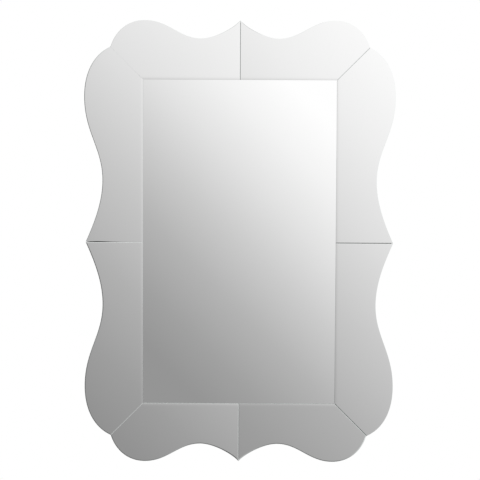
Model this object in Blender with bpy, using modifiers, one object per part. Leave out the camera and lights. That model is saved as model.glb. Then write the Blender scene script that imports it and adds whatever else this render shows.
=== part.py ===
"""Wall mirror: a rectangular mirror plate inside a wide scalloped border of eight mirror plates.

The front faces -Y, the flat back lies on the wall at y = 0 and Z is up. The origin is the
middle of the back. Lengths are in metres. "Level" is the height off the wall, towards the viewer.
"""

import math
from types import SimpleNamespace

import bmesh
import bpy
from mathutils import Matrix, Vector
from mathutils.geometry import interpolate_bezier

# Outline of the whole mirror
OVERALL_WIDTH = 0.7112
OVERALL_HEIGHT = 1.016
SIDE_BORDER = 0.1340
TOP_BORDER = 0.1348
MITRE_RUN = 0.0740

# Scallop of the two long edges, from the tip at mid-height out to the corner notch
SIDE_TIP_SETBACK = 0.0028
SIDE_TIP_ANGLE = math.radians(66)
SIDE_WAIST_DEPTH = 0.0414
SIDE_WAIST_OFFSET = 0.1429
SIDE_LOBE_DROP = 0.1137
SIDE_NOTCH_ANGLE = math.radians(-23.5)

# Scallop of the top and bottom edges, from the tip at mid-width out to the corner notch
TOP_TIP_SETBACK = 0.0002
TOP_TIP_ANGLE = math.radians(39)
TOP_WAIST_DEPTH = 0.0411
TOP_WAIST_OFFSET = 0.0891
TOP_LOBE_DROP = 0.0790
TOP_NOTCH_ANGLE = math.radians(-17.5)

# How full each curve is: handle length over the span between its two points
SIDE_FULLNESS = (0.37, 0.34, 0.38, 0.43, 0.55, 0.31)
TOP_FULLNESS = (0.21, 0.37, 0.39, 0.42, 0.47, 0.51)
CURVE_STEP = 0.010

# Mirror plates
GLASS_THICKNESS = 0.004
ARRIS = 0.0010
CENTRE_ARRIS = 0.0006
SEAM_GAP = 0.0006
CENTRE_GAP = 0.0004
BED_GAP = 0.0003

# Backing board, with the sloped bed that tips every border plate towards the middle
BOARD_THICKNESS = 0.0120
BOARD_INSET = 0.0030
CENTRE_POCKET_DEPTH = 0.0020
CORNER_RISE = 0.0024
MITRE_SLOPE = 0.0233

# Keyhole hangers let into the back
HANGER_SPACING = 0.4064
HANGER_DROP = 0.0960
HANGER_LENGTH = 0.0560
HANGER_WIDTH = 0.0190
HANGER_THICKNESS = 0.0020
HANGER_SCREW_MARGIN = 0.0065
KEYHOLE_ENTRY_RADIUS = 0.0048
KEYHOLE_SLOT_WIDTH = 0.0050
KEYHOLE_TRAVEL = 0.0140
HEAD_ROOM_RADIUS = 0.0065
HEAD_ROOM_DEPTH = 0.0046
FIT_GAP = 0.0003
CIRCLE_STEPS = 32

# Countersunk screws
SCREW_HEAD_RADIUS = 0.0032
SCREW_HEAD_HEIGHT = 0.0015
SCREW_SHANK_RADIUS = 0.0015
SCREW_LENGTH = 0.0080
SCREW_POINT = 0.0020
SCREW_SUNK = 0.0001
RECESS_SPAN = 0.0034
RECESS_WIDTH = 0.0009
RECESS_DEPTH = 0.0008

# How far a cutter stands proud of what it cuts, and the extra thickness of the board's blank
CUT_PROUD = 0.001
BLANK_EXTRA = 0.005

# Sizes that follow from the ones above
INNER_X = OVERALL_WIDTH / 2 - SIDE_BORDER
INNER_Z = OVERALL_HEIGHT / 2 - TOP_BORDER
NOTCH_X = INNER_X + MITRE_RUN
NOTCH_Z = INNER_Z + MITRE_RUN
SIDE_ALONG = CORNER_RISE / INNER_Z
SIDE_OUT = MITRE_SLOPE - SIDE_ALONG
TOP_ALONG = CORNER_RISE / INNER_X
TOP_OUT = MITRE_SLOPE - TOP_ALONG
CENTRE_FLOOR = BOARD_THICKNESS - CENTRE_POCKET_DEPTH
HANGER_RECESS = HANGER_THICKNESS + FIT_GAP
HANGER_Z = OVERALL_HEIGHT / 2 - HANGER_DROP - KEYHOLE_TRAVEL / 2
HANGER_SCREW_OFFSET = HANGER_LENGTH / 2 - HANGER_SCREW_MARGIN

SIDE_EDGE = SimpleNamespace(
    reach=OVERALL_WIDTH / 2,
    tip_setback=SIDE_TIP_SETBACK,
    tip_angle=SIDE_TIP_ANGLE,
    waist_depth=SIDE_WAIST_DEPTH,
    waist_offset=SIDE_WAIST_OFFSET,
    lobe_offset=NOTCH_Z - SIDE_LOBE_DROP,
    notch=Vector((NOTCH_X, NOTCH_Z)),
    notch_angle=SIDE_NOTCH_ANGLE,
    fullness=SIDE_FULLNESS,
)
TOP_EDGE = SimpleNamespace(
    reach=OVERALL_HEIGHT / 2,
    tip_setback=TOP_TIP_SETBACK,
    tip_angle=TOP_TIP_ANGLE,
    waist_depth=TOP_WAIST_DEPTH,
    waist_offset=TOP_WAIST_OFFSET,
    lobe_offset=NOTCH_X - TOP_LOBE_DROP,
    notch=Vector((NOTCH_Z, NOTCH_X)),
    notch_angle=TOP_NOTCH_ANGLE,
    fullness=TOP_FULLNESS,
)

# Turns plan coordinates (across, up, level) into world ones: level runs towards -Y
PLAN = Matrix.Rotation(math.pi / 2, 4, "X")


# Scene, collections and materials


def clear_scene():
    for obj in list(bpy.data.objects):
        bpy.data.objects.remove(obj, do_unlink=True)
    for collection in list(bpy.data.collections):
        bpy.data.collections.remove(collection)


def new_collection(name):
    collection = bpy.data.collections.new(name)
    bpy.context.scene.collection.children.link(collection)
    return collection


def make_material(name, colour, metallic, roughness):
    material = bpy.data.materials.new(name)
    material.use_nodes = True
    shader = material.node_tree.nodes["Principled BSDF"]
    shader.inputs["Base Color"].default_value = (*colour, 1.0)
    shader.inputs["Metallic"].default_value = metallic
    shader.inputs["Roughness"].default_value = roughness
    material.diffuse_color = (*colour, 1.0)
    return material


def mirror_glass():
    return make_material("mirror_glass", (0.86, 0.87, 0.87), 1.0, 0.03)


def board_paint():
    return make_material("board_paint", (0.035, 0.034, 0.033), 0.0, 0.62)


def hanger_steel():
    return make_material("hanger_steel", (0.60, 0.60, 0.58), 1.0, 0.38)


def screw_steel():
    return make_material("screw_steel", (0.66, 0.62, 0.48), 1.0, 0.32)


# Shared shape helpers


def place(obj, matrix):
    obj.location = matrix.to_translation()
    obj.rotation_euler = matrix.to_euler()


def hide_cutter(obj):
    obj.hide_render = True
    obj.display_type = "WIRE"


def cut(obj, cutter):
    modifier = obj.modifiers.new("cut_" + cutter.name, "BOOLEAN")
    modifier.operation = "DIFFERENCE"
    modifier.solver = "EXACT"
    modifier.object = cutter


def arc(centre, radius, start, end, steps):
    turn = (end - start) / steps
    angles = [start + turn * i for i in range(steps + 1)]
    return [centre + radius * Vector((math.cos(a), math.sin(a))) for a in angles]


def stadium(centre, half_width, half_travel):
    top = centre + Vector((0, half_travel))
    bottom = centre - Vector((0, half_travel))
    upper = arc(top, half_width, 0, math.pi, CIRCLE_STEPS // 2)
    lower = arc(bottom, half_width, math.pi, math.tau, CIRCLE_STEPS // 2)
    return upper + lower


def extruded(name, outlines, thickness, collection):
    """A flat plate on local z = 0, from an outline and any hole outlines, as a clean mesh."""
    curve = bpy.data.curves.new(name, "CURVE")
    curve.dimensions = "2D"
    curve.fill_mode = "BOTH"
    curve.extrude = thickness / 2
    for outline in outlines:
        spline = curve.splines.new("POLY")
        spline.points.add(len(outline) - 1)
        for point, place_at in zip(spline.points, outline):
            point.co = (place_at[0], place_at[1], 0.0, 1.0)
        spline.use_cyclic_u = True
    drawn = bpy.data.objects.new(name + "_outline", curve)
    collection.objects.link(drawn)
    bpy.context.view_layer.update()
    graph = bpy.context.evaluated_depsgraph_get()
    mesh = bpy.data.meshes.new_from_object(drawn.evaluated_get(graph))
    bpy.data.objects.remove(drawn, do_unlink=True)
    bpy.data.curves.remove(curve)
    tidy_plate(mesh, thickness)
    mesh.name = name
    obj = bpy.data.objects.new(name, mesh)
    collection.objects.link(obj)
    return obj


def tidy_plate(mesh, thickness):
    """Welds the caps to the walls, sets the back on z = 0 and joins each cap's triangles."""
    bm = bmesh.new()
    bm.from_mesh(mesh)
    bmesh.ops.remove_doubles(bm, verts=bm.verts, dist=1e-6)
    bmesh.ops.translate(bm, vec=(0, 0, thickness / 2), verts=bm.verts)
    bmesh.ops.recalc_face_normals(bm, faces=bm.faces)
    bm.normal_update()
    inside_cap = []
    for edge in bm.edges:
        if all(abs(face.normal.z) > 0.99 for face in edge.link_faces):
            inside_cap.append(edge)
    has_hole = len(bm.verts) - len(bm.edges) + len(bm.faces) != 2
    if not has_hole:
        bmesh.ops.dissolve_edges(bm, edges=inside_cap, use_verts=False)
    bm.to_mesh(mesh)
    bm.free()


def weight_rim(mesh, level):
    """Marks the edges that lie on local z = level for the arris."""
    bm = bmesh.new()
    bm.from_mesh(mesh)
    weights = bm.edges.layers.float.new("bevel_weight_edge")
    for edge in bm.edges:
        if all(abs(vert.co.z - level) < 1e-5 for vert in edge.verts):
            edge[weights] = 1.0
    bm.to_mesh(mesh)
    bm.free()


def add_arris(obj, width):
    weight_rim(obj.data, GLASS_THICKNESS)
    modifier = obj.modifiers.new("arris", "BEVEL")
    modifier.limit_method = "WEIGHT"
    modifier.offset_type = "OFFSET"
    modifier.width = width
    modifier.segments = 1
    modifier.use_clamp_overlap = False


def box(name, low, high, collection):
    """A box between two corners, from a unit cube."""
    bm = bmesh.new()
    bmesh.ops.create_cube(bm, size=1.0)
    low = Vector(low)
    high = Vector(high)
    bmesh.ops.scale(bm, vec=high - low, verts=bm.verts)
    bmesh.ops.translate(bm, vec=(low + high) / 2, verts=bm.verts)
    mesh = bpy.data.meshes.new(name)
    bm.to_mesh(mesh)
    bm.free()
    obj = bpy.data.objects.new(name, mesh)
    collection.objects.link(obj)
    return obj


def turned(name, profile, collection):
    """A turned shape: the profile runs down its outer side, in (radius, height) pairs."""
    mesh = bpy.data.meshes.new(name)
    points = [(radius, 0.0, height) for radius, height in profile]
    edges = [(i, i + 1) for i in range(len(points) - 1)]
    mesh.from_pydata(points, edges, [])
    obj = bpy.data.objects.new(name, mesh)
    collection.objects.link(obj)
    screw = obj.modifiers.new("turn", "SCREW")
    screw.axis = "Z"
    screw.steps = CIRCLE_STEPS // 2
    screw.render_steps = CIRCLE_STEPS // 2
    screw.use_merge_vertices = True
    screw.merge_threshold = 1e-5
    screw.use_normal_calculate = False
    return obj


# The scalloped outline


def edge_points(edge, inset=0.0, seam=0.0):
    """Points of one eighth of the outline, from its tip to the corner notch.

    Each is (out, along): out is away from the middle, along is measured from the tip. inset moves
    the edge inwards, and seam leaves half that gap at the tip and at the mitre.
    """
    tip_out = edge.reach - edge.tip_setback - inset / math.sin(edge.tip_angle)
    tip = Vector((tip_out, seam / 2))
    waist = Vector((edge.reach - edge.waist_depth - inset, edge.waist_offset))
    lobe = Vector((edge.reach - inset, edge.lobe_offset))
    notch = inset_notch(edge, inset) - Vector((0, seam / 2 * math.sqrt(2)))
    spans = (waist.y - tip.y, lobe.y - waist.y, notch.y - lobe.y)
    handles = [full * spans[i // 2] for i, full in enumerate(edge.fullness)]
    tip_way = Vector((-math.cos(edge.tip_angle), math.sin(edge.tip_angle)))
    notch_way = Vector((math.cos(edge.notch_angle), math.sin(edge.notch_angle)))
    runs = [
        (tip, tip + handles[0] * tip_way, waist - Vector((0, handles[1])), waist),
        (waist, waist + Vector((0, handles[2])), lobe - Vector((0, handles[3])), lobe),
        (lobe, lobe + Vector((0, handles[4])), notch + handles[5] * notch_way, notch),
    ]
    points = [tip]
    for run in runs:
        steps = max(6, round((run[3] - run[0]).length / CURVE_STEP))
        points += interpolate_bezier(*run, steps + 1)[1:]
    return points


def inset_notch(edge, inset):
    """The corner notch, moved inwards from both of the edges that meet there."""
    other = TOP_EDGE if edge is SIDE_EDGE else SIDE_EDGE
    own_normal = Vector((-math.sin(edge.notch_angle), math.cos(edge.notch_angle)))
    other_normal = Vector((math.cos(other.notch_angle), -math.sin(other.notch_angle)))
    both = own_normal + other_normal
    return edge.notch - inset * both / (1 + own_normal.dot(other_normal))


def to_plan(points, edge, right, upper):
    """Turns (out, along) points into (across, up) ones in the quarter given by two signs."""
    if edge is SIDE_EDGE:
        return [Vector((right * p[0], upper * p[1])) for p in points]
    return [Vector((right * p[1], upper * p[0])) for p in points]


def whole_outline(inset):
    quarter = edge_points(SIDE_EDGE, inset)[:-1]
    ring = []
    for right, upper in ((1, 1), (-1, 1), (-1, -1), (1, -1)):
        side = to_plan(quarter, SIDE_EDGE, right, upper)
        top = to_plan(edge_points(TOP_EDGE, inset), TOP_EDGE, right, upper)
        run = side + list(reversed(top))
        if right * upper < 0:
            run.reverse()
        ring += run[:-1]
    return ring


# The sloped bed under the border


def bed_slope(edge, right, upper):
    if edge is SIDE_EDGE:
        return Vector((right * SIDE_OUT, upper * SIDE_ALONG))
    return Vector((right * TOP_ALONG, upper * TOP_OUT))


def bed_start(edge, right, upper):
    if edge is SIDE_EDGE:
        return Vector((right * INNER_X, 0))
    return Vector((0, upper * INNER_Z))


def bed_level(edge, right, upper, point):
    slope = bed_slope(edge, right, upper)
    return BOARD_THICKNESS + slope.dot(point - bed_start(edge, right, upper))


def bed_frame(edge, right, upper):
    """The frame of one bed: x across, y up, z square off the bed towards the viewer."""
    slope = bed_slope(edge, right, upper)
    start = bed_start(edge, right, upper)
    normal = Vector((-slope.x, -1, -slope.y)).normalized()
    across = Vector((1, -slope.x, 0)).normalized()
    frame = Matrix((across, normal.cross(across), normal)).transposed().to_4x4()
    return Matrix.Translation((start.x, -BOARD_THICKNESS, start.y)) @ frame


# Mirror plates


def border_plate(name, edge, right, upper, material, collection):
    inner = INNER_X if edge is SIDE_EDGE else INNER_Z
    inner_corner = INNER_Z if edge is SIDE_EDGE else INNER_X
    half_seam = SEAM_GAP / 2
    corner = Vector((inner, inner_corner - half_seam * math.sqrt(2)))
    ring = [Vector((inner, half_seam)), *edge_points(edge, seam=SEAM_GAP), corner]
    frame = bed_frame(edge, right, upper)
    to_local = frame.inverted()
    outline = []
    for point in to_plan(ring, edge, right, upper):
        level = bed_level(edge, right, upper, point)
        outline.append((to_local @ Vector((point.x, -level, point.y))).xy)
    plate = extruded(name, [outline], GLASS_THICKNESS, collection)
    add_arris(plate, ARRIS)
    place(plate, frame @ Matrix.Translation((0, 0, BED_GAP)))
    plate.data.materials.append(material)
    return plate


def centre_plate(material, collection):
    half_x = INNER_X - CENTRE_GAP
    half_z = INNER_Z - CENTRE_GAP
    low = (-half_x, -half_z, 0)
    high = (half_x, half_z, GLASS_THICKNESS)
    plate = box("centre_plate", low, high, collection)
    add_arris(plate, CENTRE_ARRIS)
    place(plate, PLAN @ Matrix.Translation((0, 0, CENTRE_FLOOR + BED_GAP)))
    plate.data.materials.append(material)
    return plate


# Backing board


def bed_cutter(blank, collection):
    """Everything above the eight sloped beds: a block trimmed by each bed's plane in turn."""
    reach_x = OVERALL_WIDTH
    reach_z = OVERALL_HEIGHT
    floor = (CENTRE_FLOOR + BOARD_THICKNESS) / 2
    low = (-reach_x, -blank - BLANK_EXTRA, -reach_z)
    high = (reach_x, -floor, reach_z)
    cutter = box("bed_cutter", low, high, collection)
    bm = bmesh.new()
    bm.from_mesh(cutter.data)
    for edge in (SIDE_EDGE, TOP_EDGE):
        for right in (-1, 1):
            for upper in (-1, 1):
                trim(bm, bed_frame(edge, right, upper))
    bmesh.ops.recalc_face_normals(bm, faces=bm.faces)
    bm.to_mesh(cutter.data)
    bm.free()
    hide_cutter(cutter)
    return cutter


def trim(bm, frame):
    """Removes what lies below the frame's xy plane and closes the cut."""
    result = bmesh.ops.bisect_plane(
        bm,
        geom=bm.verts[:] + bm.edges[:] + bm.faces[:],
        plane_co=frame.to_translation(),
        plane_no=frame.to_3x3().col[2],
        clear_inner=True,
    )
    rim = [item for item in result["geom_cut"] if isinstance(item, bmesh.types.BMEdge)]
    bmesh.ops.edgeloop_fill(bm, edges=rim)


def backing_board(material, collection, cutters):
    ring = whole_outline(BOARD_INSET)
    highest = BOARD_THICKNESS
    for edge in (SIDE_EDGE, TOP_EDGE):
        for point in to_plan(edge_points(edge), edge, 1, 1):
            highest = max(highest, bed_level(edge, 1, 1, point))
    blank = highest + BLANK_EXTRA
    board = extruded("backing_board", [ring], blank, collection)
    place(board, PLAN)
    board.data.materials.append(material)
    cut(board, bed_cutter(blank, cutters))
    pocket = box(
        "centre_pocket",
        (-INNER_X, -blank - BLANK_EXTRA, -INNER_Z),
        (INNER_X, -CENTRE_FLOOR, INNER_Z),
        cutters,
    )
    hide_cutter(pocket)
    cut(board, pocket)
    return board


# Keyhole hangers and their screws


def hanger_centre(right):
    return Vector((right * HANGER_SPACING / 2, HANGER_Z))


def keyhole_outline():
    half_slot = KEYHOLE_SLOT_WIDTH / 2
    entry = Vector((0, -KEYHOLE_TRAVEL / 2))
    top = Vector((0, KEYHOLE_TRAVEL / 2))
    join = math.acos(half_slot / KEYHOLE_ENTRY_RADIUS)
    entry_steps = CIRCLE_STEPS * 3 // 4
    around = arc(entry, KEYHOLE_ENTRY_RADIUS, math.pi - join, math.tau + join, entry_steps)
    return around + arc(top, half_slot, 0, math.pi, CIRCLE_STEPS // 2)


def screw_profile(clearance):
    """Half section of a countersunk screw from its head, grown by a clearance for its hole."""
    head = SCREW_HEAD_RADIUS + clearance
    shank = SCREW_SHANK_RADIUS + clearance
    tip = SCREW_LENGTH + clearance
    return [
        (0, 0),
        (head, 0),
        (shank, -SCREW_HEAD_HEIGHT),
        (shank, -tip + SCREW_POINT),
        (0, -tip),
    ]


def screw_frame(right, upper):
    """The head faces +Y, out of the back."""
    centre = hanger_centre(right) + Vector((0, upper * HANGER_SCREW_OFFSET))
    turn = Matrix.Rotation(-math.pi / 2, 4, "X")
    return Matrix.Translation((centre.x, 0, centre.y)) @ turn


def screw_hole(name, right, upper, cutters):
    lead = [(0, CUT_PROUD), (SCREW_HEAD_RADIUS + FIT_GAP, CUT_PROUD)]
    hole = turned(name, lead + screw_profile(FIT_GAP)[1:], cutters)
    place(hole, screw_frame(right, upper))
    hide_cutter(hole)
    return hole


def hanger(name, right, material, collection):
    outline = stadium(Vector((0, 0)), HANGER_WIDTH / 2, (HANGER_LENGTH - HANGER_WIDTH) / 2)
    plate = extruded(name, [outline, keyhole_outline()], HANGER_THICKNESS, collection)
    centre = hanger_centre(right)
    place(plate, Matrix.Translation((centre.x, 0, centre.y)) @ PLAN)
    plate.data.materials.append(material)
    return plate


def hanger_recess(name, right, cutters):
    outline = stadium(
        Vector((0, 0)),
        HANGER_WIDTH / 2 + FIT_GAP,
        (HANGER_LENGTH - HANGER_WIDTH) / 2,
    )
    return back_cutter(name, outline, HANGER_RECESS, right, cutters)


def head_room(name, right, cutters):
    outline = stadium(Vector((0, 0)), HEAD_ROOM_RADIUS, KEYHOLE_TRAVEL / 2)
    return back_cutter(name, outline, HANGER_RECESS + HEAD_ROOM_DEPTH, right, cutters)


def back_cutter(name, outline, depth, right, cutters):
    """Cuts from outside the back to a depth."""
    cutter = extruded(name, [outline], depth + CUT_PROUD, cutters)
    centre = hanger_centre(right)
    place(cutter, Matrix.Translation((centre.x, CUT_PROUD, centre.y)) @ PLAN)
    hide_cutter(cutter)
    return cutter


def screw(name, right, upper, material, collection, cutters):
    obj = turned(name, screw_profile(0.0), collection)
    frame = screw_frame(right, upper) @ Matrix.Translation((0, 0, -SCREW_SUNK))
    place(obj, frame)
    obj.data.materials.append(material)
    half_span = RECESS_SPAN / 2
    half_width = RECESS_WIDTH / 2
    arms = ((half_span, half_width), (half_width, half_span))
    for index, (half_x, half_y) in enumerate(arms):
        low = (-half_x, -half_y, -RECESS_DEPTH)
        high = (half_x, half_y, CUT_PROUD)
        arm = box(name + "_recess_" + str(index), low, high, cutters)
        place(arm, frame)
        hide_cutter(arm)
        cut(obj, arm)
    return obj


def main():
    clear_scene()
    parts = new_collection("wall_mirror")
    cutters = new_collection("cutters")
    glass = mirror_glass()
    board = backing_board(board_paint(), parts, cutters)
    centre_plate(glass, parts)
    for right, across in ((-1, "left"), (1, "right")):
        for upper, up in ((-1, "lower"), (1, "upper")):
            border_plate(f"plate_{across}_{up}", SIDE_EDGE, right, upper, glass, parts)
    for upper, up in ((-1, "bottom"), (1, "top")):
        for right, across in ((-1, "left"), (1, "right")):
            border_plate(f"plate_{up}_{across}", TOP_EDGE, right, upper, glass, parts)
    steel = hanger_steel()
    zinc = screw_steel()
    for right, across in ((-1, "left"), (1, "right")):
        plate = hanger(f"hanger_{across}", right, steel, parts)
        cut(board, hanger_recess(f"recess_{across}", right, cutters))
        cut(board, head_room(f"head_room_{across}", right, cutters))
        for upper, up in ((-1, "lower"), (1, "upper")):
            hole = screw_hole(f"screw_hole_{across}_{up}", right, upper, cutters)
            cut(plate, hole)
            cut(board, hole)
            screw(f"screw_{across}_{up}", right, upper, zinc, parts, cutters)


main()
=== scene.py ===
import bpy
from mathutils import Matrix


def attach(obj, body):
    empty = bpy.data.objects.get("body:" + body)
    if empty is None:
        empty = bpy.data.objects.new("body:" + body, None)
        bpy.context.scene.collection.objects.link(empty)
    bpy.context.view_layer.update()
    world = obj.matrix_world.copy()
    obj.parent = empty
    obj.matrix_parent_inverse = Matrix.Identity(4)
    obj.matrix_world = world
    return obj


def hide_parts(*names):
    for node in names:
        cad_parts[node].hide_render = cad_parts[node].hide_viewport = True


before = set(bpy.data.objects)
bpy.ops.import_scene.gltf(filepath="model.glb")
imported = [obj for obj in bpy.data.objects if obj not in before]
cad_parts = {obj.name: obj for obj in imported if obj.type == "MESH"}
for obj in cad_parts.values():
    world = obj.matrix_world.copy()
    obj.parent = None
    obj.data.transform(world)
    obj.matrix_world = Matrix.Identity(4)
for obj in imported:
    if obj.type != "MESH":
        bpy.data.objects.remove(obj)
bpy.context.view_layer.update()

import math
from types import SimpleNamespace

import bmesh
import bpy
from mathutils import Matrix, Vector
from mathutils.geometry import interpolate_bezier

# Outline, board and glass in metres, as in the CAD source
OVERALL_WIDTH = 0.7112
OVERALL_HEIGHT = 1.016
SIDE_BORDER = 0.1340
TOP_BORDER = 0.1348
MITRE_RUN = 0.0740
GLASS = 0.004
BED_GAP = 0.0003
BOARD = 0.0120
BOARD_INSET = 0.0030
BOARD_BEVEL = 0.0009
BLANK_THICKNESS = 0.024
POCKET = 0.0020
CORNER_RISE = 0.0024
MITRE_SLOPE = 0.0233

# Hangers and screws, as in the CAD source
HANGER_SPACING = 0.4064
HANGER_DROP = 0.0960
HANGER_LENGTH = 0.0560
HANGER_WIDTH = 0.0190
HANGER_THICKNESS = 0.0020
HANGER_BEVEL = 0.0002
HANGER_SCREW_OFFSET = 0.0215
ENTRY_RADIUS = 0.0048
SLOT_WIDTH = 0.0050
KEYHOLE_TRAVEL = 0.0140
HEAD_ROOM_RADIUS = 0.0065
HEAD_ROOM_DEPTH = 0.0046
FIT_GAP = 0.0003
SCREW_HEAD_RADIUS = 0.0032
SCREW_HEAD_HEIGHT = 0.0015
SCREW_SHANK_RADIUS = 0.0015
SCREW_LENGTH = 0.0080
SCREW_POINT = 0.0020
SCREW_SUNK = 0.0001

# The screw head's rounded rim and the cross in it
RIM_INWARDS = 0.00015
RIM_DOWN = 0.00012
CROSS_HALF_LENGTH = 0.0017
CROSS_HALF_WIDTH = 0.00042
CROSS_DEPTH = 0.0009

# Laid and ground glass, finer than in the CAD source
MITRE_GAP = 0.00005
CENTRE_GAP = 0.00005
INNER_ARRIS = 0.0001
CENTRE_ARRIS = 0.0001
ARRIS_FALL = 0.5  # an arris's depth for its width
ROLL_WIDTH = 0.006  # the polished front rolls off within this of its inner edge
BOW_PEAK = 0.8**4 * 0.2  # the most of s**4 * (1 - s), where s is four fifths

# How finely the meshes are divided, and how far cutters reach in front of and behind the board
CURVE_STEP = 0.0035
CORNER_STEP = 0.001
GRID = 0.011
ROLL_CUTS = 4
SLOT_STEPS = 24
OUTLINE_STEPS = 32
ENTRY_STEPS = 40
TURNED_STEPS = 40
CUTTER_FRONT = 0.06
CUTTER_BACK = 0.001
CUT_SHIFT = 1e-5  # keeps a cut off the vertices that are there already
TOUCHING = 1e-6
FLAT = 0.99  # a face whose normal is this near to the axis lies flat
RIM_ANGLE = 1.0  # radians between the two faces at a rim, at the least

# The largest angle, in degrees, that is still shaded as smooth
PLATE_SMOOTH = 12
BOARD_SMOOTH = 12
HANGER_SMOOTH = 20
SCREW_SMOOTH = 30

INNER_X = OVERALL_WIDTH / 2 - SIDE_BORDER
INNER_Z = OVERALL_HEIGHT / 2 - TOP_BORDER
NOTCH_X = INNER_X + MITRE_RUN
NOTCH_Z = INNER_Z + MITRE_RUN
SIDE_ALONG = CORNER_RISE / INNER_Z
SIDE_OUT = MITRE_SLOPE - SIDE_ALONG
TOP_ALONG = CORNER_RISE / INNER_X
TOP_OUT = MITRE_SLOPE - TOP_ALONG
CENTRE_FLOOR = BOARD - POCKET
HANGER_RECESS = HANGER_THICKNESS + FIT_GAP
HANGER_Z = OVERALL_HEIGHT / 2 - HANGER_DROP - KEYHOLE_TRAVEL / 2
PLAN = Matrix.Rotation(math.pi / 2, 4, "X")  # from (x, z) in the plane of the wall to space
SIGNS = (-1, 1)
ROOT_TWO = math.sqrt(2)
FRONT, ARRIS, EDGE, BACK = range(4)  # the order of a glass plate's materials
MIX_FIRST, MIX_SECOND, MIX_RESULT = 6, 7, 2  # the colour sockets of the mix node

# A quarter of each kind of edge: the long edge at the side and the short one at the top
SIDE = SimpleNamespace(
    reach=OVERALL_WIDTH / 2, setback=0.0028, tip_angle=math.radians(66),
    waist_depth=0.0414, waist=0.1429, lobe=NOTCH_Z - 0.1137,
    notch=Vector((NOTCH_X, NOTCH_Z)), notch_angle=math.radians(-23.5),
    fullness=(0.37, 0.34, 0.38, 0.43, 0.55, 0.31),
    inner=INNER_X, corner=INNER_Z,
)
TOP = SimpleNamespace(
    reach=OVERALL_HEIGHT / 2, setback=0.0002, tip_angle=math.radians(39),
    waist_depth=0.0411, waist=0.0891, lobe=NOTCH_X - 0.0790,
    notch=Vector((NOTCH_Z, NOTCH_X)), notch_angle=math.radians(-17.5),
    fullness=(0.21, 0.37, 0.39, 0.42, 0.47, 0.51),
    inner=INNER_Z, corner=INNER_X,
)


def plate(edge, right, upper, bow=0.0, **look):
    return SimpleNamespace(edge=edge, right=right, upper=upper, bow=bow, **look)


# Each border plate's edge and quarter, then how it was laid and ground: a lean across its width in
# radians, on top of the bed's slope, the radius of its slight hollow, the angle that its front
# rolls off to at the inner edge, the seam's gap at its inner and outer ends, the arris widths on
# the seam, the outer edge and the mitre, and how far the seam is bowed
PLATES = {
    "plate_left_lower": plate(
        SIDE, -1, -1, lean=-0.0005, radius=46, roll=0.009, gaps=(0.0001, 0.0004),
        arris=(0.0009, 0.0020, 0.00065), bow=0.0001,
    ),
    "plate_left_upper": plate(
        SIDE, -1, 1, lean=-0.0008, radius=31, roll=0.009, gaps=(0.0001, 0.0014),
        arris=(0.0001, 0.0014, 0.0001), bow=0.0015,
    ),
    "plate_right_lower": plate(
        SIDE, 1, -1, lean=-0.0037, radius=33, roll=0.012, gaps=(0.0011, 0.0011),
        arris=(0.0007, 0.0003, 0.0018),
    ),
    "plate_right_upper": plate(
        SIDE, 1, 1, lean=-0.0032, radius=34, roll=0.012, gaps=(0.0011, 0.0011),
        arris=(0.0007, 0.0005, 0.0008),
    ),
    "plate_bottom_left": plate(
        TOP, -1, -1, lean=-0.0020, radius=60, roll=0.014, gaps=(0.0004, 0.0004),
        arris=(0.0007, 0.0020, 0.00065),
    ),
    "plate_bottom_right": plate(
        TOP, 1, -1, lean=-0.0027, radius=31, roll=0.012, gaps=(0.0004, 0.0004),
        arris=(0.0007, 0.0020, 0.0005),
    ),
    "plate_top_left": plate(
        TOP, -1, 1, lean=0.0004, radius=22, roll=0.016, gaps=(0.0005, 0.0005),
        arris=(0.0007, 0.0005, 0.0001),
    ),
    "plate_top_right": plate(
        TOP, 1, 1, lean=-0.0009, radius=25, roll=0.016, gaps=(0.0005, 0.0005),
        arris=(0.0007, 0.0005, 0.0008),
    ),
}

# Materials: two colours and two values of roughness, between which a noise chooses, then a relief
# (strength, distance) and a coat (weight, roughness) where there are any. A noise is given by its
# scale, detail and roughness, and the last two can be left out.
NOISE_BAND = (0.3, 0.7)
SILVER_BAND = (0.35, 0.65)
SILVER_TINT = (1.0, 1.0, 0.998)
SILVER_DRIFT = 0.992
CENTRE_TONE = 0.90
BORDER_TONE = 0.862


def silver(tone):
    """Silvered glass: a faint drift in the silver and a haze that is only just there."""
    return dict(
        metallic=1.0, stops=SILVER_BAND, colour_noise=(3.0,),
        colours=(tuple(c * tone * SILVER_DRIFT for c in SILVER_TINT), (tone,) * 3),
        roughness_noise=(9.0, 4.0), roughness=(0.008, 0.03),
    )


def steel(colours, roughness):
    return dict(
        metallic=1.0, colour_noise=(180.0, 4.0), colours=colours,
        roughness_noise=(420.0, 4.0), roughness=roughness,
        relief_noise=(1400.0, 2.0), relief=(0.2, 0.0001),
    )


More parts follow.
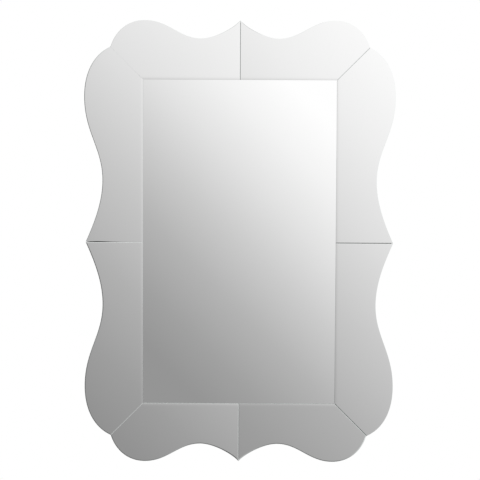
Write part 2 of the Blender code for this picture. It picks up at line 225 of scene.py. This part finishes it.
MATERIALS = {
    "centre_mirror": silver(CENTRE_TONE),
    "border_mirror": silver(BORDER_TONE),
    "glass_arris": dict(
        metallic=1.0, colour_noise=(60.0,), colours=((0.80, 0.83, 0.82), (0.86, 0.88, 0.87)),
        roughness_noise=(220.0, 4.0), roughness=(0.10, 0.24),
    ),
    # The ground edge of float glass: grey-green, with fine marks from the wheel
    "glass_edge": dict(
        colour_noise=(45.0,), colours=((0.13, 0.19, 0.17), (0.21, 0.29, 0.26)),
        roughness_noise=(300.0, 4.0), roughness=(0.16, 0.34), coat=(0.5, 0.1),
        relief_noise=(900.0, 3.0), relief=(0.25, 0.0002),
    ),
    "silver_back_paint": dict(
        colour_noise=(30.0,), colours=((0.20, 0.21, 0.22), (0.26, 0.27, 0.28)),
        roughness_noise=(120.0,), roughness=(0.45, 0.65),
    ),
    # Roller-painted fibreboard: matt black, with a fine orange peel
    "black_board_paint": dict(
        colour_noise=(14.0, 6.0, 0.6), colours=((0.028, 0.027, 0.026), (0.036, 0.035, 0.033)),
        roughness_noise=(60.0, 5.0), roughness=(0.50, 0.72),
        relief_noise=(700.0, 3.0), relief=(0.35, 0.0004),
    ),
    "hanger_zinc": steel(((0.48, 0.48, 0.47), (0.62, 0.62, 0.60)), (0.28, 0.48)),
    "screw_zinc": steel(((0.58, 0.53, 0.38), (0.70, 0.66, 0.50)), (0.22, 0.40)),
    "studio_floor": dict(
        colour_noise=(0.8, 4.0), colours=((0.72,) * 3, (0.76,) * 3), roughness=0.8,
    ),
}

# Camera, set for the angle, width and slight turn of the photograph
CAMERA_DISTANCE = 5.0
CAMERA_ELEVATION = math.radians(5.0)
CAMERA_ROLL = math.radians(0.27)
AIM = Vector((0.0014, -0.0180, 0.0064))
VIEW_WIDTH = 1.1017
SENSOR_WIDTH = 36.0
CLIP_END = 100.0

# The room as (distance, screen tone) stops along its slant, from the lower left to the upper right:
# what the plates show from the front, where a step of the distance is 0.23 m on the mirror, what
# they show from further round, and what the arrises show
SLANT = (math.sqrt(0.5), 0.0, math.sqrt(0.5))
FORWARDS = (0.0, -1.0, 0.0)
TONE_STEP = 0.2295 / CAMERA_DISTANCE
GRADIENT_REACH = 0.09
ROOM_MIDDLE = -math.sin(CAMERA_ELEVATION) * math.sqrt(0.5)
ROOM_FALLOFF = (
    (-1.4, 149), (-1.0, 161), (-0.5, 180), (0.0, 203), (0.5, 226), (1.0, 244), (1.45, 255),
)
PANEL_FALLOFF = (
    (-0.66, 140), (-0.44, 232), (-0.26, 165), (-0.08, 232), (0.06, 185), (0.30, 248), (0.50, 190),
)
SIDE_FALLOFF = ((-0.56, 110), (-0.06, 203), (0.56, 253))
PANELS_TO_FRONT = (0.92, 0.97)  # how far forwards a ray points where one gives way to the other
SIDES_TO_PANELS = (0.74, 0.80)

# Lights, aimed at the origin, and floor
LIGHT_SIZE = 2.0
LIGHT_POWER = 60
LIGHTS = {"key_box": (2.6, -2.6, 2.8), "fill_box": (-3.0, 2.2, 2.4)}
FLOOR_HEIGHT = -1.40
FLOOR_RADIUS = 4.0
FLOOR_SEGMENTS = 128


# Materials


def add(tree, kind, **settings):
    node = tree.nodes.new(kind)
    for key, value in settings.items():
        if key.startswith("in_"):
            node.inputs[key[3:].replace("_", " ")].default_value = value
        else:
            setattr(node, key, value)
    return node


def noise(tree, scale, detail=3.0, roughness=0.5):
    place = add(tree, "ShaderNodeTexCoord")
    texture = add(
        tree, "ShaderNodeTexNoise", in_Scale=scale, in_Detail=detail, in_Roughness=roughness)
    tree.links.new(place.outputs["Object"], texture.inputs["Vector"])
    return texture.outputs["Fac"]


def spread(tree, value, low, high):
    """Maps a noise's middle band to a range."""
    mapped = add(
        tree, "ShaderNodeMapRange", in_From_Min=NOISE_BAND[0], in_From_Max=NOISE_BAND[1],
        in_To_Min=low, in_To_Max=high)
    tree.links.new(value, mapped.inputs["Value"])
    return mapped.outputs["Result"]


def ramp(tree, value, stops):
    node = add(tree, "ShaderNodeValToRGB")
    while len(node.color_ramp.elements) < len(stops):
        node.color_ramp.elements.new(0.5)
    for element, (position, colour) in zip(node.color_ramp.elements, stops):
        element.position = position
        element.color = (*colour, 1.0)
    tree.links.new(value, node.inputs["Fac"])
    return node.outputs["Color"]


def new_material(
    name, colour_noise, colours, roughness, roughness_noise=None, relief=None, relief_noise=None,
    metallic=0.0, coat=None, stops=NOISE_BAND,
):
    material = bpy.data.materials.new(name)
    material.use_nodes = True
    tree = material.node_tree
    shader = tree.nodes["Principled BSDF"]
    shader.inputs["Metallic"].default_value = metallic
    colour = ramp(tree, noise(tree, *colour_noise), list(zip(stops, colours)))
    tree.links.new(colour, shader.inputs["Base Color"])
    if roughness_noise:
        rough = spread(tree, noise(tree, *roughness_noise), *roughness)
        tree.links.new(rough, shader.inputs["Roughness"])
    else:
        shader.inputs["Roughness"].default_value = roughness
    if coat:
        shader.inputs["Coat Weight"].default_value = coat[0]
        shader.inputs["Coat Roughness"].default_value = coat[1]
    if relief:
        bump = add(tree, "ShaderNodeBump", in_Strength=relief[0], in_Distance=relief[1])
        tree.links.new(noise(tree, *relief_noise), bump.inputs["Height"])
        tree.links.new(bump.outputs["Normal"], shader.inputs["Normal"])
    return material


# The scalloped outline


def offset_corner(point, first, inset, second, other_inset):
    """Moves a corner inwards from the two edges whose outward normals are given."""
    shared = first.dot(second)
    move = (inset - shared * other_inset) * first + (other_inset - shared * inset) * second
    return point - move / (1 - shared * shared)


def curve_ends(edge, inset, tip_side, notch_side, tip_gap=0.0, mitre_gap=0.0):
    """The tip and the notch. A side is the outward normal and the inset of the edge met there."""
    tip = Vector((edge.reach - edge.setback, tip_gap / 2))
    notch = edge.notch - Vector((0, mitre_gap / 2 * ROOT_TWO))
    at_tip = Vector((math.sin(edge.tip_angle), math.cos(edge.tip_angle)))
    at_notch = Vector((-math.sin(edge.notch_angle), math.cos(edge.notch_angle)))
    return (
        offset_corner(tip, at_tip, inset, *tip_side),
        offset_corner(notch, at_notch, inset, *notch_side),
    )


def curve_points(edge, tip, notch, inset):
    """The curve from the tip over the waist and the lobe to the notch, as (out, along).

    It has as many points at every inset.
    """
    waist = Vector((edge.reach - edge.waist_depth - inset, edge.waist))
    lobe = Vector((edge.reach - inset, edge.lobe))
    spans = (waist.y - tip.y, lobe.y - waist.y, notch.y - lobe.y)
    handles = [full * spans[i // 2] for i, full in enumerate(edge.fullness)]
    tip_way = Vector((-math.cos(edge.tip_angle), math.sin(edge.tip_angle)))
    notch_way = Vector((math.cos(edge.notch_angle), math.sin(edge.notch_angle)))
    runs = (
        (tip, tip + handles[0] * tip_way, waist - Vector((0, handles[1])), waist),
        (waist, waist + Vector((0, handles[2])), lobe - Vector((0, handles[3])), lobe),
        (lobe, lobe + Vector((0, handles[4])), notch + handles[5] * notch_way, notch),
    )
    base = (
        Vector((edge.reach - edge.setback, 0)),
        Vector((edge.reach - edge.waist_depth, edge.waist)),
        Vector((edge.reach, edge.lobe)),
        edge.notch,
    )
    points = [tip]
    for index, run in enumerate(runs):
        steps = round((base[index + 1] - base[index]).length / CURVE_STEP)
        points += interpolate_bezier(*run, steps + 1)[1:]
    return points


def shares(length):
    """Where the points of a straight edge lie, as many at every inset, so that it can sag."""
    steps = round(length / GRID)
    inside = [i / steps for i in range(1, steps)]
    return [CORNER_STEP / length, *inside, 1 - CORNER_STEP / length]


def straight(start, end, length):
    return [start.lerp(end, share) for share in shares(length)]


def bowed(start, end, length, bow):
    """As straight, but bowed inwards by up to bow, most of it at four fifths of the way out."""
    bulges = ((s, bow * s**4 * (1 - s) / BOW_PEAK) for s in shares(length))
    return [start.lerp(end, s) + Vector((0, bulge)) for s, bulge in bulges]


def plate_ring(lay, share):
    """One border plate's outline in (out, along), moved inwards by a share of each edge's arris.

    Also gives the arris width at each point.
    """
    edge = lay.edge
    widths = (*lay.arris, INNER_ARRIS)
    seam, outer, mitre, inner = (share * width for width in widths)
    mitre_normal = Vector((-1, 1)).normalized()
    tip_side = (Vector((0, -1)), seam)
    tip, notch = curve_ends(
        edge, outer, tip_side, (mitre_normal, mitre), lay.gaps[1], MITRE_GAP)
    out = edge.inner + inner
    start = Vector((out, lay.gaps[0] / 2 + seam))
    corner = Vector((out, edge.corner + inner - MITRE_GAP / 2 * ROOT_TWO - mitre * ROOT_TWO))
    curve = curve_points(edge, tip, notch, outer)
    near = CORNER_STEP / CURVE_STEP
    curve = [tip, tip.lerp(curve[1], near), *curve[1:-1], notch.lerp(curve[-2], near)]
    runs = (
        [start, *bowed(start, tip, edge.reach - edge.inner, lay.bow)],
        curve,
        [notch, *straight(notch, corner, MITRE_RUN * ROOT_TWO)],
        [corner, *straight(corner, start, edge.corner)],
    )
    points, arris = [], []
    for index, run in enumerate(runs):
        points += run
        arris += [min(widths[index], widths[index - 1])] + [widths[index]] * (len(run) - 1)
    return points, arris


def to_plan(points, edge, right, upper):
    """From (out, along) to (x, z) in one quarter."""
    if edge is SIDE:
        return [Vector((right * p[0], upper * p[1])) for p in points]
    return [Vector((right * p[1], upper * p[0])) for p in points]


def whole_ring(inset):
    """The whole outline, moved inwards by inset."""
    quarter = []
    for edge, other in ((SIDE, TOP), (TOP, SIDE)):
        other_normal = Vector((math.cos(other.notch_angle), -math.sin(other.notch_angle)))
        mirrored = Vector((math.sin(edge.tip_angle), -math.cos(edge.tip_angle)))
        tip, notch = curve_ends(edge, inset, (mirrored, inset), (other_normal, inset))
        quarter.append(curve_points(edge, tip, notch, inset))
    ring = []
    for right, upper in ((1, 1), (-1, 1), (-1, -1), (1, -1)):
        run = to_plan(quarter[0][:-1], SIDE, right, upper)
        run += reversed(to_plan(quarter[1], TOP, right, upper))
        if right * upper < 0:
            run.reverse()
        ring += run[:-1]
    return ring


# The sloped beds


def bed_slope(edge, right, upper):
    """How far the bed rises forwards per metre, to the right and upwards."""
    if edge is SIDE:
        return Vector((right * SIDE_OUT, upper * SIDE_ALONG))
    return Vector((right * TOP_ALONG, upper * TOP_OUT))


def bed_frame(edge, right, upper):
    """The bed's own frame: its third axis stands out from the bed, its first runs to the right."""
    slope = bed_slope(edge, right, upper)
    start = Vector((right * INNER_X, 0)) if edge is SIDE else Vector((0, upper * INNER_Z))
    normal = Vector((-slope.x, -1, -slope.y)).normalized()
    across = Vector((1, -slope.x, 0)).normalized()
    turn = Matrix((across, normal.cross(across), normal)).transposed().to_4x4()
    return Matrix.Translation((start.x, -BOARD, start.y)) @ turn


def onto_bed(points, edge, right, upper):
    """Plan points as (x, y) in the bed's own frame."""
    slope = bed_slope(edge, right, upper)
    bed = bed_frame(edge, right, upper)
    start = bed.to_translation()
    back = bed.inverted()
    found = []
    for p in points:
        level = BOARD + slope.dot(p - Vector((start.x, start.z)))
        found.append((back @ Vector((p.x, -level, p.y))).xy)
    return found


# Mesh helpers


def link(name, bm, materials=()):
    mesh = bpy.data.meshes.new(name)
    bm.to_mesh(mesh)
    bm.free()
    obj = bpy.data.objects.new(name, mesh)
    bpy.context.scene.collection.objects.link(obj)
    for material in materials:
        mesh.materials.append(material)
    return obj


def settle(obj, matrix):
    """Puts an object's place into its mesh, as in the CAD."""
    obj.data.transform(matrix)
    obj.data.update()


def shade(obj, angle):
    obj.data.shade_smooth()
    obj.data.set_sharp_from_angle(angle=math.radians(angle))


def ring_verts(bm, ring, heights):
    return [bm.verts.new((p[0], p[1], height)) for p, height in zip(ring, heights)]


def band(bm, low, high, index):
    """Faces between two rings, with the given material."""
    count = len(low)
    for i in range(count):
        j = (i + 1) % count
        face = bm.faces.new((low[i], low[j], high[j], high[i]))
        face.material_index = index


def front_faces(bm):
    return [face for face in bm.faces if face.material_index == FRONT]


def cut_front(bm, axis, place):
    front = front_faces(bm)
    edges = {edge for face in front for edge in face.edges}
    verts = {vert for face in front for vert in face.verts}
    at, normal = Vector((0, 0, 0)), Vector((0, 0, 0))
    at[axis], normal[axis] = place, 1
    geometry = front + list(edges) + list(verts)
    bmesh.ops.bisect_plane(bm, geom=geometry, plane_co=at, plane_no=normal)


def grid_cut(bm):
    """Cuts the front into a grid, so that its sag is smooth."""
    verts = [v for face in front_faces(bm) for v in face.verts]
    spans = [(min(v.co[axis] for v in verts), max(v.co[axis] for v in verts)) for axis in (0, 1)]
    for axis, (low, high) in enumerate(spans):
        count = max(2, round((high - low) / GRID))
        for i in range(1, count):
            cut_front(bm, axis, low + (high - low) * i / count + CUT_SHIFT)


def glass_plate(name, outer, inner, depths, materials, sag, cuts=()):
    """Front, arris, ground edge and painted back of one plate.

    The two outlines are equally long, and depths gives the arris's fall at each of their points.
    """
    bm = bmesh.new()
    back = ring_verts(bm, outer, [0.0] * len(outer))
    shoulder = ring_verts(bm, outer, [GLASS - depth for depth in depths])
    front = ring_verts(bm, inner, [GLASS] * len(inner))
    bm.faces.new(front).material_index = FRONT
    band(bm, shoulder, front, ARRIS)
    band(bm, back, shoulder, EDGE)
    bm.faces.new(list(reversed(back))).material_index = BACK
    bm.normal_update()
    bmesh.ops.recalc_face_normals(bm, faces=bm.faces)
    grid_cut(bm)
    for axis, place in cuts:
        cut_front(bm, axis, place)
    for vert in bm.verts:
        if vert.co.z > GLASS / 2:
            vert.co.z += sag(vert.co.x, vert.co.y)
    obj = link(name, bm, materials)
    shade(obj, PLATE_SMOOTH)
    return obj


def border_plate(name, materials):
    lay = PLATES[name]
    edge, right, upper = lay.edge, lay.right, lay.upper
    rings = []
    for share in (0, 1):
        points, arris = plate_ring(lay, share)
        rings.append(onto_bed(to_plan(points, edge, right, upper), edge, right, upper))
    outer, inner = rings
    middle = Vector([(min(p[i] for p in outer) + max(p[i] for p in outer)) / 2 for i in (0, 1)])

    def height(x, y):
        off = Vector((x, y)) - middle
        across = off.x if edge is SIDE else off.y
        from_inner = right * x if edge is SIDE else upper * y
        roll = lay.roll * max(0.0, ROLL_WIDTH - from_inner) ** 2 / (2 * ROLL_WIDTH)
        return lay.lean * across + off.length_squared / (2 * lay.radius) - roll

    highest = max(height(p[0], p[1]) for p in outer)
    axis, outward = (0, right) if edge is SIDE else (1, upper)
    cuts = [(axis, outward * ROLL_WIDTH * i / ROLL_CUTS) for i in range(1, ROLL_CUTS + 1)]
    depths = [width * ARRIS_FALL for width in arris]
    obj = glass_plate(
        name + "_glass", outer, inner, depths, materials, lambda x, y: height(x, y) - highest, cuts)
    settle(obj, bed_frame(edge, right, upper) @ Matrix.Translation((0, 0, BED_GAP)))
    return obj


def centre_plate(materials):
    def ring(inset):
        x = INNER_X - CENTRE_GAP - inset
        z = INNER_Z - CENTRE_GAP - inset
        return [Vector((-x, -z)), Vector((x, -z)), Vector((x, z)), Vector((-x, z))]

    depths = [CENTRE_ARRIS] * 4
    obj = glass_plate(
        "centre_glass", ring(0.0), ring(CENTRE_ARRIS), depths, materials, lambda x, y: 0.0)
    settle(obj, PLAN @ Matrix.Translation((0, 0, CENTRE_FLOOR + BED_GAP)))
    return obj


# Flat pieces with holes, turned pieces and cutters


def extruded(name, outlines, thickness):
    """A flat piece from its outline and the outlines of its holes."""
    curve = bpy.data.curves.new(name, "CURVE")
    curve.dimensions = "2D"
    curve.fill_mode = "BOTH"
    curve.extrude = thickness / 2
    for outline in outlines:
        spline = curve.splines.new("POLY")
        spline.points.add(len(outline) - 1)
        for point, at in zip(spline.points, outline):
            point.co = (at[0], at[1], 0.0, 1.0)
        spline.use_cyclic_u = True
    drawn = bpy.data.objects.new(name, curve)
    bpy.context.scene.collection.objects.link(drawn)
    bpy.context.view_layer.update()
    graph = bpy.context.evaluated_depsgraph_get()
    mesh = bpy.data.meshes.new_from_object(drawn.evaluated_get(graph))
    bpy.data.objects.remove(drawn, do_unlink=True)
    bm = bmesh.new()
    bm.from_mesh(mesh)
    bpy.data.meshes.remove(mesh)
    bmesh.ops.remove_doubles(bm, verts=bm.verts, dist=TOUCHING)
    bmesh.ops.translate(bm, vec=(0, 0, thickness / 2), verts=bm.verts)
    bmesh.ops.recalc_face_normals(bm, faces=bm.faces)
    return bm


def arc(centre, radius, start, end, steps):
    turn = (end - start) / steps
    angles = [start + turn * i for i in range(steps + 1)]
    return [centre + radius * Vector((math.cos(a), math.sin(a))) for a in angles]


def stadium(half_width, half_travel, steps=SLOT_STEPS):
    upper = arc(Vector((0, half_travel)), half_width, 0, math.pi, steps)
    return upper + arc(Vector((0, -half_travel)), half_width, math.pi, math.tau, steps)


def keyhole():
    half_slot = SLOT_WIDTH / 2
    join = math.acos(half_slot / ENTRY_RADIUS)
    below, above = Vector((0, -KEYHOLE_TRAVEL / 2)), Vector((0, KEYHOLE_TRAVEL / 2))
    around = arc(below, ENTRY_RADIUS, math.pi - join, math.tau + join, ENTRY_STEPS)
    return around + arc(above, half_slot, 0, math.pi, SLOT_STEPS)


def cut_with(obj, cutters):
    """Cuts and applies, then removes the cutters."""
    for cutter in cutters:
        modifier = obj.modifiers.new("cut", "BOOLEAN")
        modifier.operation = "DIFFERENCE"
        modifier.solver = "EXACT"
        modifier.object = cutter
    bpy.context.view_layer.update()
    graph = bpy.context.evaluated_depsgraph_get()
    mesh = bpy.data.meshes.new_from_object(obj.evaluated_get(graph))
    old = obj.data
    obj.modifiers.clear()
    obj.data = mesh
    bpy.data.meshes.remove(old)
    for cutter in cutters:
        bpy.data.objects.remove(cutter, do_unlink=True)


def box(low, high):
    bm = bmesh.new()
    bmesh.ops.create_cube(bm, size=1.0)
    low, high = Vector(low), Vector(high)
    bmesh.ops.scale(bm, vec=high - low, verts=bm.verts)
    bmesh.ops.translate(bm, vec=(low + high) / 2, verts=bm.verts)
    return bm


def turned(profile):
    """Spins (radius, height) pairs, which run down the outer side, into a closed solid."""
    bm = bmesh.new()
    turns = [math.tau * i / TURNED_STEPS for i in range(TURNED_STEPS)]
    rings = []
    for radius, height in profile:
        circle = [(radius * math.cos(a), radius * math.sin(a)) for a in turns]
        rings.append(ring_verts(bm, circle if radius else [(0, 0)], [height] * TURNED_STEPS))
    for upper, lower in zip(rings, rings[1:]):
        for i in range(TURNED_STEPS):
            j = (i + 1) % TURNED_STEPS
            around = ((upper, i), (lower, i), (lower, j), (upper, j))
            corners = [ring[k % len(ring)] for ring, k in around]
            bm.faces.new(list(dict.fromkeys(corners)))
    bmesh.ops.recalc_face_normals(bm, faces=bm.faces)
    return bm


def bed_cutter():
    """What lies in front of all eight beds."""
    bm = box(
        (-OVERALL_WIDTH, -CUTTER_FRONT, -OVERALL_HEIGHT),
        (OVERALL_WIDTH, -(CENTRE_FLOOR + BOARD) / 2, OVERALL_HEIGHT),
    )
    for edge in (SIDE, TOP):
        for right in SIGNS:
            for upper in SIGNS:
                bed = bed_frame(edge, right, upper)
                cut = bmesh.ops.bisect_plane(
                    bm, geom=bm.verts[:] + bm.edges[:] + bm.faces[:], clear_inner=True,
                    plane_co=bed.to_translation(), plane_no=bed.to_3x3().col[2],
                )
                rim = [item for item in cut["geom_cut"] if isinstance(item, bmesh.types.BMEdge)]
                bmesh.ops.edgeloop_fill(bm, edges=rim)
    bmesh.ops.recalc_face_normals(bm, faces=bm.faces)
    return link("bed_cutter", bm)


def hanger_centre(right):
    return Vector((right * HANGER_SPACING / 2, HANGER_Z))


def back_cutter(outline, depth, right):
    cutter = link("back_cutter", extruded("back_cutter", [outline], depth + CUTTER_BACK))
    centre = hanger_centre(right)
    settle(cutter, Matrix.Translation((centre.x, CUTTER_BACK, centre.y)) @ PLAN)
    return cutter


# Backing board, hangers and screws


def screw_frame(right, upper):
    """The middle of a screw's head, with its third axis towards the back."""
    centre = hanger_centre(right) + Vector((0, upper * HANGER_SCREW_OFFSET))
    return Matrix.Translation((centre.x, 0, centre.y)) @ Matrix.Rotation(-math.pi / 2, 4, "X")


def screw_profile(clearance):
    tip = SCREW_LENGTH + clearance
    shank = SCREW_SHANK_RADIUS + clearance
    head = SCREW_HEAD_RADIUS + clearance
    return [(head, 0), (shank, -SCREW_HEAD_HEIGHT), (shank, -tip + SCREW_POINT), (0, -tip)]


def screw_hole(right, upper):
    lead = [(0, CUTTER_BACK), (SCREW_HEAD_RADIUS + FIT_GAP, CUTTER_BACK)]
    hole = link("screw_hole", turned(lead + screw_profile(FIT_GAP)))
    settle(hole, screw_frame(right, upper))
    return hole


def soften(bm, rim, offset, segments, clamp_overlap):
    """Rounds the edges of a rim."""
    bmesh.ops.bevel(
        bm, geom=rim, offset=offset, segments=segments, profile=0.5, affect="EDGES",
        clamp_overlap=clamp_overlap)


def backing_board(material):
    bm = extruded("board", [whole_ring(BOARD_INSET)], BLANK_THICKNESS)
    inside = [e for e in bm.edges if all(abs(f.normal.z) > FLAT for f in e.link_faces)]
    bmesh.ops.dissolve_edges(bm, edges=inside, use_verts=False)
    rim = [e for e in bm.edges if all(abs(v.co.z) < TOUCHING for v in e.verts)]
    soften(bm, rim, BOARD_BEVEL, segments=3, clamp_overlap=False)
    board = link("board", bm, [material])
    settle(board, PLAN)
    pocket = box((-INNER_X, -CUTTER_FRONT, -INNER_Z), (INNER_X, -CENTRE_FLOOR, INNER_Z))
    cutters = [bed_cutter(), link("pocket", pocket)]
    recess = stadium(HANGER_WIDTH / 2 + FIT_GAP, (HANGER_LENGTH - HANGER_WIDTH) / 2)
    room = stadium(HEAD_ROOM_RADIUS, KEYHOLE_TRAVEL / 2)
    for right in SIGNS:
        cutters.append(back_cutter(recess, HANGER_RECESS, right))
        cutters.append(back_cutter(room, HANGER_RECESS + HEAD_ROOM_DEPTH, right))
        cutters += [screw_hole(right, upper) for upper in SIGNS]
    cut_with(board, cutters)
    shade(board, BOARD_SMOOTH)
    return board


def hanger(name, right, material):
    outline = stadium(HANGER_WIDTH / 2, (HANGER_LENGTH - HANGER_WIDTH) / 2, OUTLINE_STEPS)
    bm = extruded(name, [outline, keyhole()], HANGER_THICKNESS)
    rim = [e for e in bm.edges if len(e.link_faces) == 2 and e.calc_face_angle() > RIM_ANGLE]
    soften(bm, rim, HANGER_BEVEL, segments=2, clamp_overlap=True)
    strip = link(name, bm, [material])
    centre = hanger_centre(right)
    settle(strip, Matrix.Translation((centre.x, 0, centre.y)) @ PLAN)
    cut_with(strip, [screw_hole(right, upper) for upper in SIGNS])
    shade(strip, HANGER_SMOOTH)
    return strip


def screw(name, right, upper, material):
    head = [(0, 0), (SCREW_HEAD_RADIUS - RIM_INWARDS, 0), (SCREW_HEAD_RADIUS, -RIM_DOWN)]
    obj = link(name, turned(head + screw_profile(0.0)[1:]), [material])
    place = screw_frame(right, upper) @ Matrix.Translation((0, 0, -SCREW_SUNK))
    settle(obj, place)
    arm_size = (CROSS_HALF_LENGTH, CROSS_HALF_WIDTH)
    for half_x, half_y in (arm_size, arm_size[::-1]):
        cutter = box((-half_x, -half_y, -CROSS_DEPTH), (half_x, half_y, CUTTER_BACK))
        arm = link(name + "_arm", cutter)
        settle(arm, place)
        cut_with(obj, [arm])
    shade(obj, SCREW_SMOOTH)
    return obj


# Studio


def linear(tone):
    """Screen tone (0 to 255) as a linear value, by the usual sRGB curve."""
    c = tone / 255
    return ((c + 0.055) / 1.055) ** 2.4 if c > 0.04045 else c / 12.92


def along(tree, direction, axis):
    dot = add(tree, "ShaderNodeVectorMath", operation="DOT_PRODUCT")
    dot.inputs[1].default_value = axis
    tree.links.new(direction, dot.inputs[0])
    return dot.outputs["Value"]


def room_ramp(tree, slope, falloff, middle=0.0, reach=1.0, step=1.0):
    """Light across the room, from (distance from the middle in steps, tone) stops."""
    place = add(
        tree, "ShaderNodeMapRange", in_From_Min=middle - reach, in_From_Max=middle + reach)
    tree.links.new(slope, place.inputs["Value"])
    stops = []
    for distance, tone in falloff:
        stops.append((0.5 + 0.5 * distance * step / reach, (linear(tone),) * 3))
    return ramp(tree, place.outputs["Result"], stops)


def blended(tree, value, span, first, second):
    """Goes from the first colour to the second as the value goes across the span."""
    share = add(
        tree, "ShaderNodeMapRange", interpolation_type="SMOOTHSTEP",
        in_From_Min=span[0], in_From_Max=span[1])
    tree.links.new(value, share.inputs["Value"])
    mixed = add(tree, "ShaderNodeMix", data_type="RGBA")
    tree.links.new(share.outputs["Result"], mixed.inputs["Factor"])
    tree.links.new(first, mixed.inputs[MIX_FIRST])
    tree.links.new(second, mixed.inputs[MIX_SECOND])
    return mixed.outputs[MIX_RESULT]


def studio_world():
    """A pale room that falls off softly from the upper right of the camera to the lower left."""
    world = bpy.data.worlds.new("studio")
    bpy.context.scene.world = world
    world.use_nodes = True
    tree = world.node_tree
    tree.nodes.clear()
    way = add(tree, "ShaderNodeTexCoord").outputs["Generated"]
    slope, facing = along(tree, way, SLANT), along(tree, way, FORWARDS)
    front = room_ramp(tree, slope, ROOM_FALLOFF, ROOM_MIDDLE, GRADIENT_REACH, TONE_STEP)
    panels = room_ramp(tree, slope, PANEL_FALLOFF)
    sides = room_ramp(tree, slope, SIDE_FALLOFF)
    colour = blended(tree, facing, SIDES_TO_PANELS, sides, panels)
    colour = blended(tree, facing, PANELS_TO_FRONT, colour, front)
    gradient = add(tree, "ShaderNodeBackground", in_Strength=1 / CENTRE_TONE)
    tree.links.new(colour, gradient.inputs["Color"])
    white = (1.0, 1.0, 1.0, 1.0)
    backdrop = add(tree, "ShaderNodeBackground", in_Strength=1.0, in_Color=white)
    path = add(tree, "ShaderNodeLightPath")
    mix = add(tree, "ShaderNodeMixShader")
    tree.links.new(path.outputs["Is Camera Ray"], mix.inputs["Fac"])
    tree.links.new(gradient.outputs["Background"], mix.inputs[1])
    tree.links.new(backdrop.outputs["Background"], mix.inputs[2])
    out = add(tree, "ShaderNodeOutputWorld")
    tree.links.new(mix.outputs["Shader"], out.inputs["Surface"])


def area_light(name, place):
    light = bpy.data.lights.new(name, "AREA")
    light.shape = "SQUARE"
    light.size = LIGHT_SIZE
    light.energy = LIGHT_POWER
    obj = bpy.data.objects.new(name, light)
    bpy.context.scene.collection.objects.link(obj)
    obj.location = place
    obj.rotation_euler = (-Vector(place)).to_track_quat("-Z", "Y").to_euler()
    obj.visible_glossy = False


def studio_floor(material):
    bm = bmesh.new()
    bmesh.ops.create_circle(bm, cap_ends=True, segments=FLOOR_SEGMENTS, radius=FLOOR_RADIUS)
    floor = link("floor", bm, [material])
    floor.location = (0, 0, FLOOR_HEIGHT)
    floor.visible_glossy = False


def studio_camera():
    data = bpy.data.cameras.new("camera")
    data.sensor_width = SENSOR_WIDTH
    data.lens = SENSOR_WIDTH * CAMERA_DISTANCE / VIEW_WIDTH
    data.clip_end = CLIP_END
    camera = bpy.data.objects.new("camera", data)
    bpy.context.scene.collection.objects.link(camera)
    back = Vector((0, -math.cos(CAMERA_ELEVATION), math.sin(CAMERA_ELEVATION)))
    camera.location = AIM + CAMERA_DISTANCE * back
    tilt = Matrix.Rotation(math.pi / 2 - CAMERA_ELEVATION, 3, "X")
    camera.rotation_euler = (tilt @ Matrix.Rotation(CAMERA_ROLL, 3, "Z")).to_euler()
    bpy.context.scene.camera = camera


def main():
    bpy.context.scene.view_settings.view_transform = "Standard"
    looks = {name: new_material(name, **look) for name, look in MATERIALS.items()}
    sides = [looks[name] for name in ("glass_arris", "glass_edge", "silver_back_paint")]
    centre_glass = [looks["centre_mirror"], *sides]
    border_glass = [looks["border_mirror"], *sides]
    made = [(centre_plate(centre_glass), "centre_plate", "mirror_plate")]
    for name in PLATES:
        made.append((border_plate(name, border_glass), name, "mirror_plate"))
    made.append((backing_board(looks["black_board_paint"]), "backing_board", "board"))
    for right, across in ((-1, "left"), (1, "right")):
        piece = hanger(f"keyhole_{across}", right, looks["hanger_zinc"])
        made.append((piece, f"hanger_{across}", "hanger"))
        for upper, up in ((-1, "lower"), (1, "upper")):
            piece = screw(f"fixing_{across}_{up}", right, upper, looks["screw_zinc"])
            made.append((piece, f"screw_{across}_{up}", "screw"))
    for piece, node, slot in made:
        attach(piece, "root")
        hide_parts(node)
    studio_world()
    studio_floor(looks["studio_floor"])
    studio_camera()
    for name, place in LIGHTS.items():
        area_light(name, place)


main()
bpy.context.view_layer.update()
